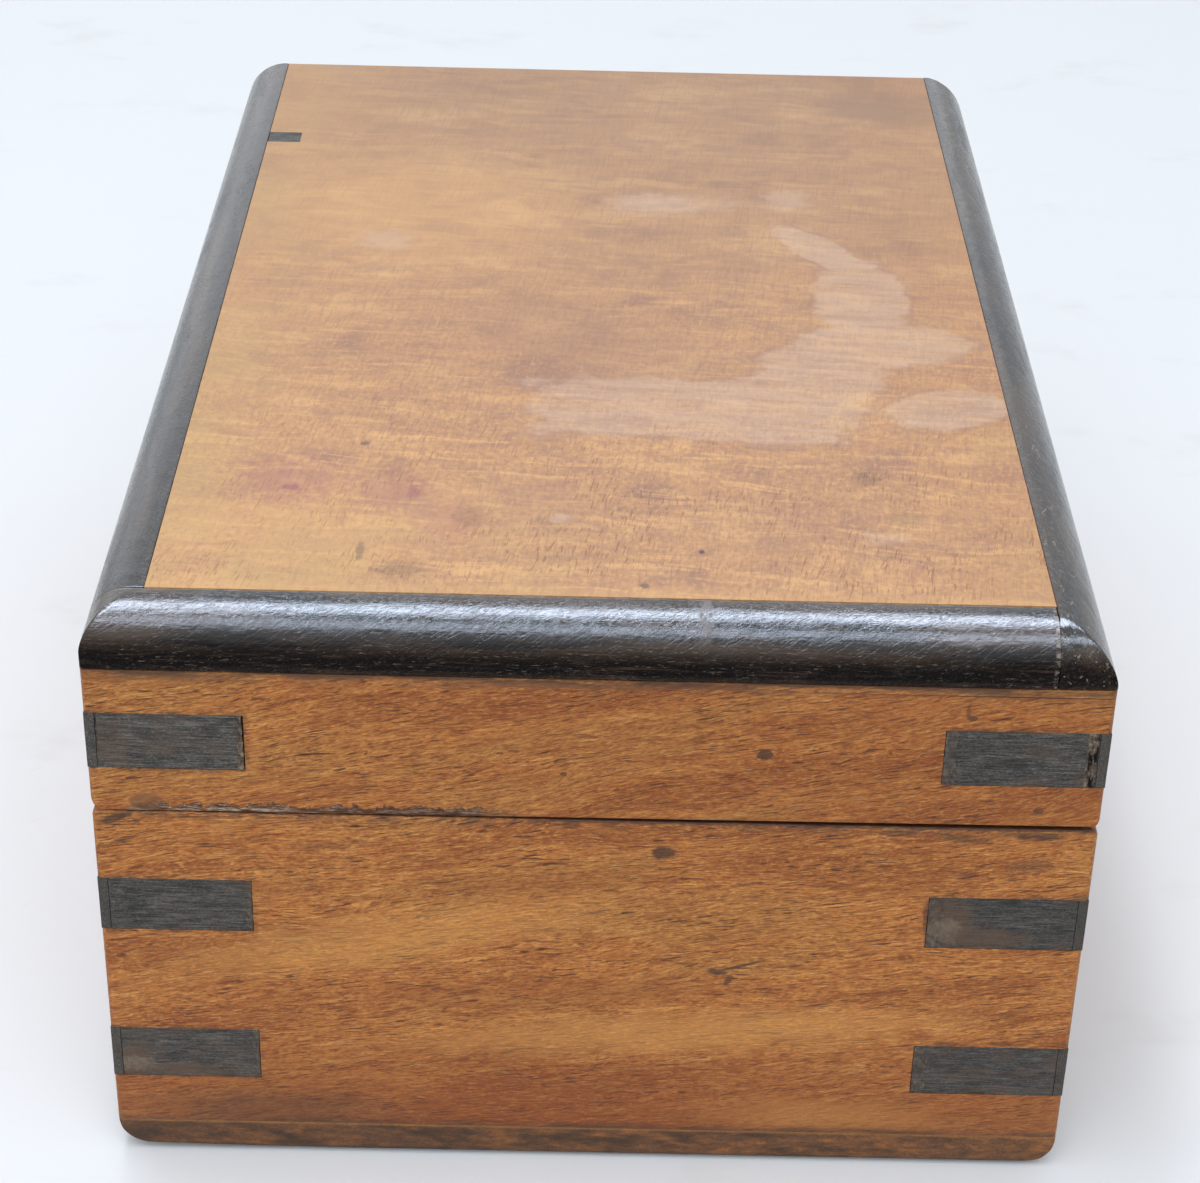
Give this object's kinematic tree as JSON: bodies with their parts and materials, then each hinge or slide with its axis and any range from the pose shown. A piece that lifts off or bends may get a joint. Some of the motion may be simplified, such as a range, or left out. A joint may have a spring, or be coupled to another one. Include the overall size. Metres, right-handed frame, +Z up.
{
  "type": "wooden storage box",
  "caption": "Hinged hardwood box for papers and keepsakes, with mitred boards, black corner straps let in flush, black beading around the lid and a planted bottom.",
  "frame": {"origin": "middle of the underside, on the face that the box rests on", "axes": "+Z up, +Y towards the hinges along the long side, +X to the right seen from the front end"},
  "size_m": [0.152, 0.2263, 0.1017],
  "materials": {
    "board_wood": "old waxed, worn",
    "top_wood": "old waxed, stained",
    "bottom_wood": "bare, dirty",
    "beading_ebony": "polished",
    "strap_ebony": "matt, worn",
    "hinge_brass": "aged",
    "screw_steel": "dull",
    "nail_steel": "dull, rusty"
  },
  "bodies": {
    "case": {"body_front_board": "board_wood", "body_right_board": "board_wood", "body_back_board": "board_wood", "body_left_board": "board_wood", "bottom_board": "bottom_wood", "bottom_nails": "nail_steel", "lower_front_left_end_strap": "strap_ebony", "lower_front_left_side_strap": "strap_ebony", "lower_front_right_end_strap": "strap_ebony", "lower_front_right_side_strap": "strap_ebony", "lower_back_right_end_strap": "strap_ebony", "lower_back_right_side_strap": "strap_ebony", "lower_back_left_end_strap": "strap_ebony", "lower_back_left_side_strap": "strap_ebony", "upper_front_left_end_strap": "strap_ebony", "upper_front_left_side_strap": "strap_ebony", "upper_front_right_end_strap": "strap_ebony", "upper_front_right_side_strap": "strap_ebony", "upper_back_right_end_strap": "strap_ebony", "upper_back_right_side_strap": "strap_ebony", "upper_back_left_end_strap": "strap_ebony", "upper_back_left_side_strap": "strap_ebony", "left_hinge_body_leaf": "hinge_brass", "left_hinge_body_screws": "screw_steel", "left_hinge_pin": "hinge_brass", "right_hinge_body_leaf": "hinge_brass", "right_hinge_body_screws": "screw_steel", "right_hinge_pin": "hinge_brass"},
    "lid": {"lid_front_board": "board_wood", "lid_right_board": "board_wood", "lid_back_board": "board_wood", "lid_left_board": "board_wood", "lid_top_board": "top_wood", "front_beading": "beading_ebony", "left_beading": "beading_ebony", "right_beading": "beading_ebony", "top_patch": "strap_ebony", "lid_front_left_end_strap": "strap_ebony", "lid_front_left_side_strap": "strap_ebony", "lid_front_right_end_strap": "strap_ebony", "lid_front_right_side_strap": "strap_ebony", "lid_back_right_end_strap": "strap_ebony", "lid_back_right_side_strap": "strap_ebony", "lid_back_left_end_strap": "strap_ebony", "lid_back_left_side_strap": "strap_ebony", "left_hinge_lid_leaf": "hinge_brass", "left_hinge_lid_screws": "screw_steel", "right_hinge_lid_leaf": "hinge_brass", "right_hinge_lid_screws": "screw_steel"}
  },
  "joints": [
    {"name": "lid_hinge", "type": "hinge", "parent": "case", "child": "lid", "pos_m": [0, 0.11225, 0.0676], "axis": [-1, 0, 0], "range_deg": [0, 180]}
  ]
}
